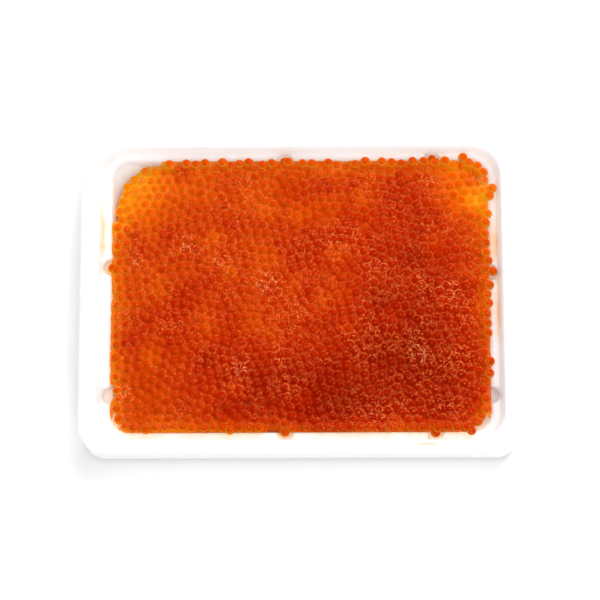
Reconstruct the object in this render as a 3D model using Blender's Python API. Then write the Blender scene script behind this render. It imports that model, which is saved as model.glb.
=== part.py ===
"""Salmon roe heaped in a white foam tray, about a kilogram of it.

The tray is one moulded block: a flat rim, a shallow recess for a lid, a narrow ledge, and a deep pit
with sloping corners and eight half-round grooves in its edge. The roe is one solid: a core that fills
the pit, whose top is drawn up into a bump for every egg that shows, and whole eggs fused on along its
uneven edge.
Metres, +Z up. The origin is the centre of the tray's underside, and X runs along its long side.
"""
import math

import bmesh
import bpy
import numpy as np
from mathutils import Euler, Vector, geometry

# Tray block
TRAY_LENGTH = 0.240
TRAY_WIDTH = 0.172
TRAY_HEIGHT = 0.043
TRAY_CORNER = 0.012
TRAY_DRAFT = 0.0012
BASE_ROUND = 0.0035
RIM_ROUND = 0.0012

# Lid recess, and the ledge it leaves round the pit
RECESS_LENGTH = 0.220
RECESS_WIDTH = 0.164
RECESS_CORNER = 0.0165
RECESS_DEPTH = 0.007
RECESS_DRAFT = 0.0017
RECESS_FILLET = 0.001
LEDGE_AT_ENDS = 0.0051
LEDGE_AT_SIDES = 0.0042

# Pit under the ledge
PIT_CORNER = 0.011
PIT_DEPTH = 0.030
PIT_DRAFT = 0.004
PIT_ROUND = 0.002
PIT_FILLET = 0.006

# Sloping corners of the pit: under a short steep edge they widen from the pit's corner to a larger round
DEEP_CORNER = 0.026
SLOPE_START = 0.003
SLOPE_END = 0.011

# Half-round grooves in the pit's edge, by their places along the sides that they open
GROOVE_SIDES = 20
GROOVE_RADIUS = 0.0045
GROOVE_DEPTH = 0.006
GROOVE_SHORT_OF_WALL = 0.00025
GROOVES_BACK = (-0.0082, 0.0735)
GROOVES_FRONT = (-0.0083, 0.0730)
GROOVES_LEFT = (0.0160, -0.0556)
GROOVES_RIGHT = (0.0122, -0.0558)

# Roe: the egg, and the gap that the solid keeps to the tray
EGG_DIAMETER = 0.0054
EGG_SPREAD = 0.035
EGG_SPREAD_MOST = 0.09
CORE_GAP = 0.0003
EGG_GAP = 0.0006

# Heap: how far its edge eggs' centres reach on each side, and how round its corners are
HEAP_LEFT = -0.0999
HEAP_RIGHT = 0.1030
HEAP_FRONT = -0.0743
HEAP_BACK = 0.0747
HEAP_CORNERS = (0.019, 0.013, 0.026, 0.012)
HEAP_RISE = 0.0021
HEAP_RISE_MOST = 0.0026

# Two crossing waves that make its edge uneven: depth, and turns in radians for each metre along X and Y
HEAP_UNEVEN = 0.0006
HEAP_WAVE = (310, 140)
HEAP_CROSS_WAVE = (170, -390)

# Corners where the heap sinks: place, depth and reach
HEAP_SINKS = (
    (-0.104, 0.077, 0.0100, 0.020),
    (0.106, 0.078, 0.0015, 0.016),
    (0.105, -0.078, 0.0045, 0.016),
    (-0.104, -0.078, 0.0015, 0.012),
)
# Places where its edge draws back from the wall (above zero) or swells over the ledge (below zero)
HEAP_DENTS = (
    (-0.1030, 0.0466, 0.0026, 0.0040),
    (-0.1030, -0.0560, 0.0014, 0.0045),
    (0.1060, 0.0330, 0.0034, 0.0065),
    (0.1060, -0.0147, 0.0026, 0.0055),
    (0.1060, -0.0508, 0.0032, 0.0050),
    (-0.0689, -0.0760, 0.0022, 0.0050),
    (0.1070, 0.0550, -0.0008, 0.0090),
    (0.0850, 0.0770, -0.0008, 0.0100),
)

# Square net that the top eggs start from, one in each cell, and how they settle
NET_PITCH = 0.00494
NET_TURN = 13.0
NET_JITTER = 0.0024
LIFT_JITTER = 0.0007
SETTLE_STEPS = 60
PUSH_SHARE = 0.3
PULL_SHARE = 0.2
SLOPE_STEP = 0.00001
PROBE_SHARES = (0.45, 0.8)
PROBE_ANGLES = 12
EGG_SEED = 11

# Eggs that lie loose on the ledge or in a groove: place, and height of the centre over the ledge
LOOSE_EGGS = (
    (0.0735, 0.0763, -0.0006),
    (-0.0080, 0.0758, -0.0011),
    (0.1062, 0.0122, 0.0016),
    (-0.1028, 0.0162, -0.0030),
    (0.0732, -0.0759, -0.0015),
    (-0.0084, -0.0760, -0.0002),
    (0.0902, 0.0765, 0.0034),
    (0.1057, 0.0590, 0.0034),
    (-0.0381, -0.0757, 0.0032),
    (0.0920, -0.0760, 0.0029),
)

# Faceted core and eggs: the bumps' depth, the band of whole eggs, and the eggs' hold on their neighbours
CORNER_STEPS = 8
CORE_STEPS_LONG = 11
CORE_STEPS_SHORT = 7
CORE_RIM_INSET = 0.0005
CORE_RIM_BLEND = 0.004
BUMP_DEPTH = 0.0024
EDGE_BAND = 0.0019
LOOSE_EGG_PITCH = 0.0044

# Steps of each rounded edge, and the angle from which the tray's edges stay sharp
BASE_STEPS = 2
RIM_STEPS = 2
RECESS_STEPS = 1
PIT_STEPS = 3
SHARP_ANGLE = 35
MERGE_DISTANCE = 0.0000001

# Heights worked out from the sizes above
LEDGE_HEIGHT = TRAY_HEIGHT - RECESS_DEPTH
FLOOR_HEIGHT = LEDGE_HEIGHT - PIT_DEPTH
PIT_LENGTH = RECESS_LENGTH - 2 * (RECESS_DRAFT + LEDGE_AT_ENDS)
PIT_WIDTH = RECESS_WIDTH - 2 * (RECESS_DRAFT + LEDGE_AT_SIDES)


def remove_all_objects():
    """Empties the scene."""
    for thing in list(bpy.data.objects):
        bpy.data.objects.remove(thing, do_unlink=True)


def principled(name, colour, roughness, transmission=0.0):
    """A plain Principled BSDF material."""
    material = bpy.data.materials.new(name)
    material.use_nodes = True
    shader = material.node_tree.nodes["Principled BSDF"]
    shader.inputs["Base Color"].default_value = (*colour, 1.0)
    shader.inputs["Roughness"].default_value = roughness
    shader.inputs["Transmission Weight"].default_value = transmission
    return material


def add_object(name, mesh, material):
    """Puts a mesh into the scene as an object with its material."""
    mesh.materials.append(material)
    thing = bpy.data.objects.new(name, mesh)
    bpy.context.collection.objects.link(thing)
    return thing


def shrunk(size, amount):
    """An outline (length, width, corner radii) moved inwards by an amount, outwards if it is below zero."""
    length, width, corners = size
    return length - 2 * amount, width - 2 * amount, tuple(corner - amount for corner in corners)


def outline(size, height, steps_long=1, steps_short=1):
    """Points of a rounded rectangle, anticlockwise from the front end of its right side's first corner.

    The corners come in the order front right, back right, back left, front left, each a quarter circle.
    """
    length, width, corners = size
    signs = ((1, -1), (1, 1), (-1, 1), (-1, -1))
    arcs = []
    for turn, (sign, corner) in enumerate(zip(signs, corners)):
        centre = Vector((sign[0] * (length / 2 - corner), sign[1] * (width / 2 - corner), height))
        angles = [math.radians(90 * (turn - 1 + step / CORNER_STEPS)) for step in range(CORNER_STEPS + 1)]
        arcs.append([centre + corner * Vector((math.cos(angle), math.sin(angle), 0)) for angle in angles])
    points = []
    for turn, arc in enumerate(arcs):
        points += arc
        steps = steps_short if turn % 2 == 0 else steps_long
        following = arcs[(turn + 1) % len(arcs)][0]
        points += [arc[-1].lerp(following, step / steps) for step in range(1, steps)]
    return points


def quarter_round(size, radius, height, start, stop, steps, side=1):
    """Stations (outline, height) of an edge rounded from one angle to another, in degrees from level.

    The round's centre is at the given height, one radius inside the outline, or outside it for side -1.
    """
    stations = []
    for step in range(steps + 1):
        angle = math.radians(start + (stop - start) * step / steps)
        inwards = side * radius * (1 - math.cos(angle))
        stations.append((shrunk(size, inwards), height + radius * math.sin(angle)))
    return stations


def loft(bm, rings):
    """Skins consecutive rings of points, all with the same count, and returns the rings' vertices."""
    rows = [[bm.verts.new(point) for point in ring] for ring in rings]
    for lower, upper in zip(rows, rows[1:]):
        for index in range(len(lower)):
            after = (index + 1) % len(lower)
            bm.faces.new((lower[index], lower[after], upper[after], upper[index]))
    return rows


def wall_inset(depth):
    """How far the pit's wall has drawn in at a depth under the ledge."""
    return PIT_DRAFT * (depth - PIT_ROUND) / (PIT_DEPTH - PIT_FILLET - PIT_ROUND)


def make_tray(material):
    """The foam tray: one profile carried round, from its underside up, over the rim and down to the pit."""
    outer = (TRAY_LENGTH, TRAY_WIDTH, (TRAY_CORNER,) * 4)
    recess = (RECESS_LENGTH, RECESS_WIDTH, (RECESS_CORNER,) * 4)
    pit = (PIT_LENGTH, PIT_WIDTH, (PIT_CORNER,) * 4)
    deep_pit = (PIT_LENGTH, PIT_WIDTH, (DEEP_CORNER,) * 4)
    rim = TRAY_HEIGHT - RIM_ROUND
    recess_floor = shrunk(recess, RECESS_DRAFT)
    fillet = LEDGE_HEIGHT + RECESS_FILLET
    stations = quarter_round(shrunk(outer, TRAY_DRAFT), BASE_ROUND, BASE_ROUND, -90, 0, BASE_STEPS)
    stations += quarter_round(outer, RIM_ROUND, rim, 0, 90, RIM_STEPS)
    stations += quarter_round(recess, RIM_ROUND, rim, 90, 0, RIM_STEPS, side=-1)
    stations += quarter_round(recess_floor, RECESS_FILLET, fillet, 0, -90, RECESS_STEPS)
    stations += quarter_round(pit, PIT_ROUND, LEDGE_HEIGHT - PIT_ROUND, 90, 0, PIT_STEPS, side=-1)
    stations.append((shrunk(pit, wall_inset(SLOPE_START)), LEDGE_HEIGHT - SLOPE_START))
    stations.append((shrunk(deep_pit, wall_inset(SLOPE_END)), LEDGE_HEIGHT - SLOPE_END))
    floor = shrunk(deep_pit, PIT_DRAFT)
    stations += quarter_round(floor, PIT_FILLET, FLOOR_HEIGHT + PIT_FILLET, 0, -90, PIT_STEPS)
    bm = bmesh.new()
    rows = loft(bm, [outline(size, height) for size, height in stations])
    bm.faces.new(list(reversed(rows[0])))
    bm.faces.new(rows[-1])
    mesh = bpy.data.meshes.new("tray")
    bm.to_mesh(mesh)
    bm.free()
    tray = add_object("tray", mesh, material)
    cutters = make_groove_cutters(material)
    join_with(tray, cutters, "DIFFERENCE")
    mesh.shade_smooth()
    mesh.set_sharp_from_angle(angle=math.radians(SHARP_ANGLE))
    return tray


def make_groove_cutters(material):
    """Upright cylinders that cut the grooves, each just short of the recess wall."""
    reach_ends = PIT_LENGTH / 2 + LEDGE_AT_ENDS - GROOVE_SHORT_OF_WALL - GROOVE_RADIUS
    reach_sides = PIT_WIDTH / 2 + LEDGE_AT_SIDES - GROOVE_SHORT_OF_WALL - GROOVE_RADIUS
    places = [(x, reach_sides) for x in GROOVES_BACK] + [(x, -reach_sides) for x in GROOVES_FRONT]
    places += [(-reach_ends, y) for y in GROOVES_LEFT] + [(reach_ends, y) for y in GROOVES_RIGHT]
    over = RECESS_DEPTH / 2
    cutters = bpy.data.collections.new("groove cutters")
    bpy.context.scene.collection.children.link(cutters)
    for x, y in places:
        bm = bmesh.new()
        bmesh.ops.create_cone(bm, cap_ends=True, segments=GROOVE_SIDES, radius1=GROOVE_RADIUS,
                              radius2=GROOVE_RADIUS, depth=GROOVE_DEPTH + over)
        middle = LEDGE_HEIGHT + (over - GROOVE_DEPTH) / 2
        bmesh.ops.translate(bm, vec=(x, y, middle), verts=bm.verts)
        mesh = bpy.data.meshes.new("groove cutter")
        bm.to_mesh(mesh)
        bm.free()
        mesh.materials.append(material)
        cutter = bpy.data.objects.new("groove cutter", mesh)
        cutter.hide_render = True
        cutter.display_type = "WIRE"
        cutters.objects.link(cutter)
    return cutters


def join_with(thing, collection, operation):
    """Applies one Boolean between an object and a collection, and then removes the collection's objects."""
    modifier = thing.modifiers.new(operation.title(), "BOOLEAN")
    modifier.operation = operation
    modifier.operand_type = "COLLECTION"
    modifier.collection = collection
    modifier.solver = "EXACT"
    bpy.context.view_layer.objects.active = thing
    bpy.ops.object.modifier_apply(modifier=modifier.name)
    for operand in list(collection.objects):
        bpy.data.objects.remove(operand, do_unlink=True)
    bpy.data.collections.remove(collection)


def rectangle_distance(x, y, low, high, corners):
    """Signed distance to a rounded rectangle, below zero inside; each quadrant has its own corner radius."""
    middle_x, middle_y = (low[0] + high[0]) / 2, (low[1] + high[1]) / 2
    front_right, back_right, back_left, front_left = corners
    right = np.where(y < middle_y, front_right, back_right)
    left = np.where(y < middle_y, front_left, back_left)
    corner = np.where(x > middle_x, right, left)
    across = np.abs(x - middle_x) - (high[0] - low[0]) / 2 + corner
    along = np.abs(y - middle_y) - (high[1] - low[1]) / 2 + corner
    outside = np.hypot(np.clip(across, 0, None), np.clip(along, 0, None))
    return np.minimum(np.maximum(across, along), 0) + outside - corner


def pit_distance(x, y):
    """Signed distance to the line where pit wall and ledge would meet, below zero over the pit."""
    half = np.array((PIT_LENGTH / 2, PIT_WIDTH / 2))
    return rectangle_distance(x, y, -half, half, (PIT_CORNER,) * 4)


def heap_distance(x, y):
    """Signed distance to the line that the edge eggs' centres keep to, with its dents and swells."""
    low, high = (HEAP_LEFT, HEAP_FRONT), (HEAP_RIGHT, HEAP_BACK)
    distance = rectangle_distance(x, y, low, high, HEAP_CORNERS)
    wave = np.sin(HEAP_WAVE[0] * x + HEAP_WAVE[1] * y)
    cross_wave = np.cos(HEAP_CROSS_WAVE[0] * x + HEAP_CROSS_WAVE[1] * y + 1)
    distance = distance + HEAP_UNEVEN * wave * cross_wave
    for dent_x, dent_y, depth, reach in HEAP_DENTS:
        distance = distance + depth * np.exp(-((x - dent_x) ** 2 + (y - dent_y) ** 2) / reach ** 2)
    return distance


def heap_level(x, y):
    """Height of the top eggs' tops: a little over the ledge, and sunk towards the corners."""
    level = LEDGE_HEIGHT + HEAP_RISE + 0 * x
    for sink_x, sink_y, depth, reach in HEAP_SINKS:
        level = level - depth * np.exp(-((x - sink_x) ** 2 + (y - sink_y) ** 2) / reach ** 2)
    return level


def lowest_centre(x, y, radius):
    """Lowest height at which an egg clears the rounded edge between pit and ledge."""
    past_round = pit_distance(x, y) - PIT_ROUND
    clear = radius + EGG_GAP
    reach = clear + PIT_ROUND
    lift = np.sqrt(np.clip(reach ** 2 - np.clip(past_round, -reach, 0) ** 2, 0, None))
    on_round = LEDGE_HEIGHT - PIT_ROUND + lift
    return np.where(past_round > -reach, on_round, FLOOR_HEIGHT + clear)


def corner_height(x, y):
    """Height of the pit's surface in its sloping corners, and of its floor anywhere else.

    The corner round that runs through a point has the radius a + b + sqrt(2 a b), where a and b are the
    point's distances from the pit's two sides, and the slope falls evenly as that radius grows.
    """
    from_end = np.clip(PIT_LENGTH / 2 - np.abs(x), 0, None)
    from_side = np.clip(PIT_WIDTH / 2 - np.abs(y), 0, None)
    corner = from_end + from_side + np.sqrt(2 * from_end * from_side)
    share = (corner - PIT_CORNER) / (DEEP_CORNER - PIT_CORNER)
    sloping = LEDGE_HEIGHT - SLOPE_START - (SLOPE_END - SLOPE_START) * share
    return np.where(share > 1, FLOOR_HEIGHT, np.where(share < 0, LEDGE_HEIGHT, sloping))


def lowest_in_corner(x, y, radius):
    """Lowest height at which an egg clears the sloping corners, the most that a point under it asks for."""
    clear = radius + EGG_GAP
    lowest = corner_height(x, y) + clear
    for share in PROBE_SHARES:
        rise = clear * math.sqrt(1 - share ** 2)
        for angle in np.linspace(0, math.tau, PROBE_ANGLES, endpoint=False):
            under_x = x + share * clear * math.cos(angle)
            under_y = y + share * clear * math.sin(angle)
            lowest = np.maximum(lowest, corner_height(under_x, under_y) + rise)
    return lowest


def settle_eggs():
    """Centres and radii of the eggs that show.

    They start at chance places in the cells of a turned square net, a little closer than eggs lying
    flat can be. Then each pair that overlaps is pushed apart in space, each egg is drawn back to the
    heap's level and inside its edge line, and lifted clear of the pit's edge, so the layer buckles.
    """
    draw = np.random.default_rng(EGG_SEED)
    count = int(TRAY_LENGTH / NET_PITCH)
    column, row = np.meshgrid(np.arange(-count, count + 1), np.arange(-count, count + 1))
    net_x = (column * NET_PITCH).ravel() + draw.uniform(-NET_JITTER, NET_JITTER, column.size)
    net_y = (row * NET_PITCH).ravel() + draw.uniform(-NET_JITTER, NET_JITTER, row.size)
    turn = math.radians(NET_TURN)
    x = net_x * math.cos(turn) - net_y * math.sin(turn)
    y = net_x * math.sin(turn) + net_y * math.cos(turn)
    inside = heap_distance(x, y) < 0
    x, y = x[inside], y[inside]
    spread = np.clip(draw.normal(0, EGG_SPREAD, x.size), -EGG_SPREAD_MOST, EGG_SPREAD_MOST)
    radius = EGG_DIAMETER / 2 * (1 + spread)
    z = heap_level(x, y) - radius + draw.normal(0, LIFT_JITTER, x.size)
    centres = np.stack([x, y, z], 1)
    touching = radius[:, None] + radius[None, :]
    for _ in range(SETTLE_STEPS):
        apart = centres[:, None, :] - centres[None, :, :]
        distance = np.sqrt((apart ** 2).sum(2)) + np.eye(len(centres))
        overlap = np.clip(touching - distance, 0, None)
        np.fill_diagonal(overlap, 0)
        centres = centres + PUSH_SHARE * (apart * (overlap / distance)[:, :, None]).sum(1)
        x, y = centres[:, 0], centres[:, 1]
        outside = heap_distance(x, y)
        slope_x = (heap_distance(x + SLOPE_STEP, y) - outside) / SLOPE_STEP
        slope_y = (heap_distance(x, y + SLOPE_STEP) - outside) / SLOPE_STEP
        centres[:, 0] -= slope_x * np.clip(outside, 0, None)
        centres[:, 1] -= slope_y * np.clip(outside, 0, None)
        x, y = centres[:, 0], centres[:, 1]
        centres[:, 2] += PULL_SHARE * (heap_level(x, y) - radius - centres[:, 2])
        centres[:, 2] = np.minimum(centres[:, 2], LEDGE_HEIGHT + HEAP_RISE_MOST - radius)
        centres[:, 2] = np.maximum(centres[:, 2], lowest_centre(x, y, radius))
        centres[:, 2] = np.maximum(centres[:, 2], lowest_in_corner(x, y, radius))
    return centres, radius


def make_core(tops, edge_eggs, core_top):
    """The heap's body as one closed mesh.

    Its wall and underside follow the pit, and its rim runs at the height of the edge eggs' centres.
    Its top is a net of triangles through the eggs' tops, each with a low point in its middle. The
    edges between two tops are turned, to run from low point to low point instead, so that every egg
    stands up as a bump of its own.
    """
    deep_corners = tuple(max(corner, DEEP_CORNER) for corner in core_top[2])
    deep = (core_top[0], core_top[1], deep_corners)
    floor = shrunk(deep, PIT_DRAFT)
    fillet = FLOOR_HEIGHT + CORE_GAP + PIT_FILLET
    stations = quarter_round(floor, PIT_FILLET, fillet, -90, 0, PIT_STEPS)
    stations.append((shrunk(deep, wall_inset(SLOPE_END)), LEDGE_HEIGHT - SLOPE_END))
    stations.append((shrunk(core_top, CORE_RIM_INSET), LEDGE_HEIGHT))
    bm = bmesh.new()
    steps = (CORE_STEPS_LONG, CORE_STEPS_SHORT)
    rows = loft(bm, [outline(size, height, *steps) for size, height in stations])
    bm.faces.new(list(reversed(rows[0])))
    rim = rows[-1]
    for vert in rim:
        distance = np.hypot(edge_eggs[:, 0] - vert.co.x, edge_eggs[:, 1] - vert.co.y)
        vert.co.z = np.average(edge_eggs[:, 2], weights=np.exp(-(distance / CORE_RIM_BLEND) ** 2))
    flat = [vert.co.xy.copy() for vert in rim] + [Vector(top[:2]) for top in tops]
    rim_edges = [(index, (index + 1) % len(rim)) for index in range(len(rim))]
    triangles = geometry.delaunay_2d_cdt(flat, rim_edges, [], 1, MERGE_DISTANCE)[2]
    peaks = rim + [bm.verts.new(top) for top in tops]
    sides = {}
    for triangle in triangles:
        corners = [peaks[index].co for index in triangle]
        middle = sum(corners, Vector()) / 3
        drop = BUMP_DEPTH * sum(index >= len(rim) for index in triangle) / 3
        low = bm.verts.new(middle - Vector((0, 0, drop)))
        for first, second in zip(triangle, (*triangle[1:], triangle[0])):
            sides[first, second] = low
    for (first, second), low in sides.items():
        other = sides.get((second, first))
        if other and min(first, second) >= len(rim):
            bm.faces.new((peaks[first], other, low))
        else:
            bm.faces.new((peaks[first], peaks[second], low))
    bmesh.ops.recalc_face_normals(bm, faces=bm.faces)
    bmesh.ops.triangulate(bm, faces=bm.faces)
    mesh = bpy.data.meshes.new("roe")
    bm.to_mesh(mesh)
    bm.free()
    return mesh


def make_eggs(centres, radius, material):
    """Whole eggs with twenty sides, each turned its own way, in a collection for the join."""
    draw = np.random.default_rng(EGG_SEED + 1)
    eggs = bpy.data.collections.new("whole eggs")
    bpy.context.scene.collection.children.link(eggs)
    for centre, size, turn in zip(centres, radius, draw.uniform(0, math.tau, (len(centres), 3))):
        bm = bmesh.new()
        bmesh.ops.create_icosphere(bm, subdivisions=1, radius=size)
        bmesh.ops.rotate(bm, matrix=Euler(turn).to_matrix(), verts=bm.verts)
        bmesh.ops.translate(bm, vec=centre, verts=bm.verts)
        mesh = bpy.data.meshes.new("egg")
        bm.to_mesh(mesh)
        bm.free()
        mesh.materials.append(material)
        eggs.objects.link(bpy.data.objects.new("egg", mesh))
    return eggs


def against_nearest(loose, centres):
    """Draws each loose egg in until it presses into the egg nearest to it, which then holds it."""
    apart = loose[:, None, :] - centres[None, :, :]
    distance = np.sqrt((apart ** 2).sum(2))
    nearest = distance.argmin(1)
    rows = np.arange(len(loose))
    away = apart[rows, nearest] / distance[rows, nearest][:, None]
    return centres[nearest] + away * LOOSE_EGG_PITCH


def make_roe(material):
    """The roe: the bumpy core with the edge eggs and the loose eggs fused on."""
    centres, radius = settle_eggs()
    core_top = shrunk((PIT_LENGTH, PIT_WIDTH, HEAP_CORNERS), CORE_GAP)
    half = np.array(core_top[:2]) / 2
    inner = rectangle_distance(centres[:, 0], centres[:, 1], -half, half, core_top[2]) < -EDGE_BAND
    tops = centres[inner]
    tops[:, 2] += radius[inner]
    edge_eggs = centres[~inner]
    roe = add_object("roe", make_core(tops.tolist(), edge_eggs, core_top), material)
    loose = against_nearest(np.array(LOOSE_EGGS) + (0, 0, LEDGE_HEIGHT), centres)
    whole = np.concatenate([edge_eggs, loose]).tolist()
    whole_radius = radius[~inner].tolist() + [EGG_DIAMETER / 2] * len(loose)
    join_with(roe, make_eggs(whole, whole_radius, material), "UNION")
    return roe


remove_all_objects()
make_tray(principled("white foam", (0.90, 0.90, 0.88), 0.55))
make_roe(principled("salmon roe", (0.80, 0.12, 0.01), 0.15, 0.3))
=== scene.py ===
"""Salmon roe heaped in a white foam tray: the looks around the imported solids.

Metres, +Z up, the tray's long side along X. Everything stands where the solids stand.
"""
import math

import bpy
import numpy as np
from mathutils import Matrix, Vector


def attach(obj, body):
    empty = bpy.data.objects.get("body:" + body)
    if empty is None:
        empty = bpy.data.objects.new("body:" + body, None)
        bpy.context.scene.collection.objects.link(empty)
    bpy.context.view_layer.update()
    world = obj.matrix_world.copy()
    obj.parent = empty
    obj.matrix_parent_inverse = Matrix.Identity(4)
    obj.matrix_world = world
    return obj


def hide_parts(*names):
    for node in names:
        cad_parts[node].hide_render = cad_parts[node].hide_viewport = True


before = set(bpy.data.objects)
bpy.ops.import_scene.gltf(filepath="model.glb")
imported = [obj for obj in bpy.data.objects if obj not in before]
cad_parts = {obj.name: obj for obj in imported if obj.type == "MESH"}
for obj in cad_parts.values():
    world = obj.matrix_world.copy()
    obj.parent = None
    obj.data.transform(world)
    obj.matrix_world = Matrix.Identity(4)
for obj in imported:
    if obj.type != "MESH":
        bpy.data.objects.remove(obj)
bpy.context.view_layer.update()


# Studio: a pale table and pale walls, one soft lamp high over the back right of the tray, a long low one
# behind it, and one over the front right. The camera looks down from the front, thirteen degrees off plumb.
LENS_MM = 156
CAMERA_PLACE = (0.0079, -0.3289, 1.4185)
CAMERA_TILT = 13.27
CAMERA_PAN = 0.32
CAMERA_ROLL = -0.23
TABLE_SIZE = 6.0
TABLE_DROP = 0.0002
TABLE_COLOUR = "F4F4F4"
TABLE_GLOW = 0.22
WALL_COLOUR = "FFFFFF"
WALL_LIGHT = 0.50
LAMPS = (
    ((0.20, 0.30, 1.50), (0.50, 0.50), 6.2),
    ((0.45, 1.15, 0.75), (1.30, 0.50), 13.0),
    ((0.25, -1.15, 0.95), (0.80, 0.50), 5.5),
)


def to_linear(code):
    """Linear colour of an sRGB hex code: each share plus 0.055, over 1.055, to the power 2.4; alpha one."""
    share = np.array([int(code[place:place + 2], 16) / 255 for place in (0, 2, 4)])
    linear = np.where(share <= 0.04045, share / 12.92, ((share + 0.055) / 1.055) ** 2.4)
    return (*linear.tolist(), 1.0)


def fill_inputs(tree, node, inputs):
    """Gives each input of a node its value or its link; a node given as a value links its first output."""
    for socket, value in dict(inputs).items():
        if isinstance(value, bpy.types.Node):
            value = next(output for output in value.outputs if output.enabled)
        if isinstance(value, bpy.types.NodeSocket):
            tree.links.new(value, node.inputs[socket])
        else:
            node.inputs[socket].default_value = value


def add_node(tree, kind, inputs=(), **settings):
    """Adds a node with its settings and its inputs."""
    made = tree.nodes.new(kind)
    for name, value in settings.items():
        setattr(made, name, value)
    fill_inputs(tree, made, inputs)
    return made


def new_material(name):
    """A new material, with its node tree and its Principled shader."""
    made = bpy.data.materials.new(name)
    made.use_nodes = True
    return made, made.node_tree, made.node_tree.nodes["Principled BSDF"]


def put_in_scene(name, points, faces, material):
    """Makes an object of points and faces at the origin, smooth shaded."""
    mesh = bpy.data.meshes.new(name)
    mesh.from_pydata(np.asarray(points).tolist(), [], faces)
    mesh.shade_smooth()
    mesh.materials.append(material)
    thing = bpy.data.objects.new(name, mesh)
    bpy.context.scene.collection.objects.link(thing)
    return thing


table_finish, table_tree, table_shader = new_material("pale table")
fill_inputs(table_tree, table_shader, {"Base Color": to_linear(TABLE_COLOUR), "Roughness": 0.6,
                                       "Emission Color": (1, 1, 1, 1), "Emission Strength": TABLE_GLOW})
half_table = TABLE_SIZE / 2
table_corners = [(-half_table, -half_table, -TABLE_DROP), (half_table, -half_table, -TABLE_DROP),
                 (half_table, half_table, -TABLE_DROP), (-half_table, half_table, -TABLE_DROP)]
table = put_in_scene("table", table_corners, [(0, 1, 2, 3)], table_finish)

studio = bpy.data.worlds.new("studio")
studio.use_nodes = True
studio_light = studio.node_tree.nodes["Background"]
studio_light.inputs["Color"].default_value = to_linear(WALL_COLOUR)
studio_light.inputs["Strength"].default_value = WALL_LIGHT
bpy.context.scene.world = studio

for number, (lamp_place, lamp_size, lamp_power) in enumerate(LAMPS):
    lamp_data = bpy.data.lights.new(f"lamp {number}", "AREA")
    lamp_data.shape = "RECTANGLE"
    lamp_data.size, lamp_data.size_y = lamp_size
    lamp_data.energy = lamp_power
    lamp = bpy.data.objects.new(f"lamp {number}", lamp_data)
    aim = (-Vector(lamp_place)).to_track_quat("-Z", "Y").to_matrix().to_4x4()
    lamp.matrix_world = Matrix.Translation(lamp_place) @ aim
    bpy.context.scene.collection.objects.link(lamp)

camera_data = bpy.data.cameras.new("camera")
camera_data.lens = LENS_MM
camera = bpy.data.objects.new("camera", camera_data)
camera.matrix_world = (Matrix.Translation(CAMERA_PLACE)
                       @ Matrix.Rotation(math.radians(CAMERA_TILT), 4, "X")
                       @ Matrix.Rotation(math.radians(CAMERA_PAN), 4, "Y")
                       @ Matrix.Rotation(math.radians(CAMERA_ROLL), 4, "Z"))
bpy.context.scene.collection.objects.link(camera)
bpy.context.scene.camera = camera
bpy.context.scene.view_settings.view_transform = "Standard"


# Tray: one block of expanded polystyrene, steam moulded between two metal halves. A flat rim runs round
# a shallow recess for a lid, and a narrow ledge with eight half-round grooves runs round the deep pit.
TRAY = (0.240, 0.172, 0.012)
TRAY_HEIGHT = 0.043
TRAY_DRAFT = 0.0012
BASE_ROUND = 0.0035
RIM_ROUND = 0.0012
RECESS = (0.220, 0.164, 0.0165)
LEDGE_HEIGHT = 0.036
RECESS_DRAFT = 0.0017
RECESS_FILLET = 0.001
FILLET_LEAST = 0.00004
PIT = (0.2064, 0.1522, 0.011)
FLOOR_HEIGHT = 0.006
PIT_DRAFT = 0.004
PIT_ROUND = 0.002
PIT_ROUND_SHARE = 0.8
PIT_ROUND_LEAST = 0.00015
PIT_FILLET = 0.006
PIT_WALL = LEDGE_HEIGHT - PIT_ROUND - FLOOR_HEIGHT - PIT_FILLET
DEEP_PIT = (0.2064, 0.1522, 0.026)
SLOPE_START = 0.003
SLOPE_END = 0.011
OVER_SLOPE_END = 0.002
UNDER_SLOPE_END = 0.0015
PIT_MIDDLE = 0.018
LEDGE_AT_ENDS = 0.0051
LEDGE_AT_SIDES = 0.0042
GROOVE_RADIUS = 0.0045
GROOVE_DEPTH = 0.006
GROOVE_SHORT_OF_WALL = 0.00025
GROOVE_MOUTH_ROUND = 0.0004
GROOVE_FILLET = 0.0008
GROOVE_FALL = 0.0006
GROOVE_FADE = 0.004
GROOVE_FADE_SLOPE = 2
GROOVES_BACK = (-0.0082, 0.0735)
GROOVES_FRONT = (-0.0083, 0.0730)
GROOVES_LEFT = (0.0160, -0.0556)
GROOVES_RIGHT = (0.0122, -0.0558)
CORNER_POINTS = 24
SIDE_PITCH = 0.004
GROOVE_POINTS = 41
GROOVE_REACH = 0.0072
GUARD = 0.0003


def along_side(half, grooves):
    """Points of a straight side from its start to its end, four millimetres apart and closer at a groove."""
    even = np.linspace(-half, half, int(2 * half / SIDE_PITCH) + 1)[1:-1]
    clear = np.all([np.abs(even - groove) > GROOVE_REACH + SIDE_PITCH / 2 for groove in grooves], axis=0)
    close = [groove + np.linspace(-GROOVE_REACH, GROOVE_REACH, GROOVE_POINTS) for groove in grooves]
    return np.sort(np.concatenate([even[clear], *close]))


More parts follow.
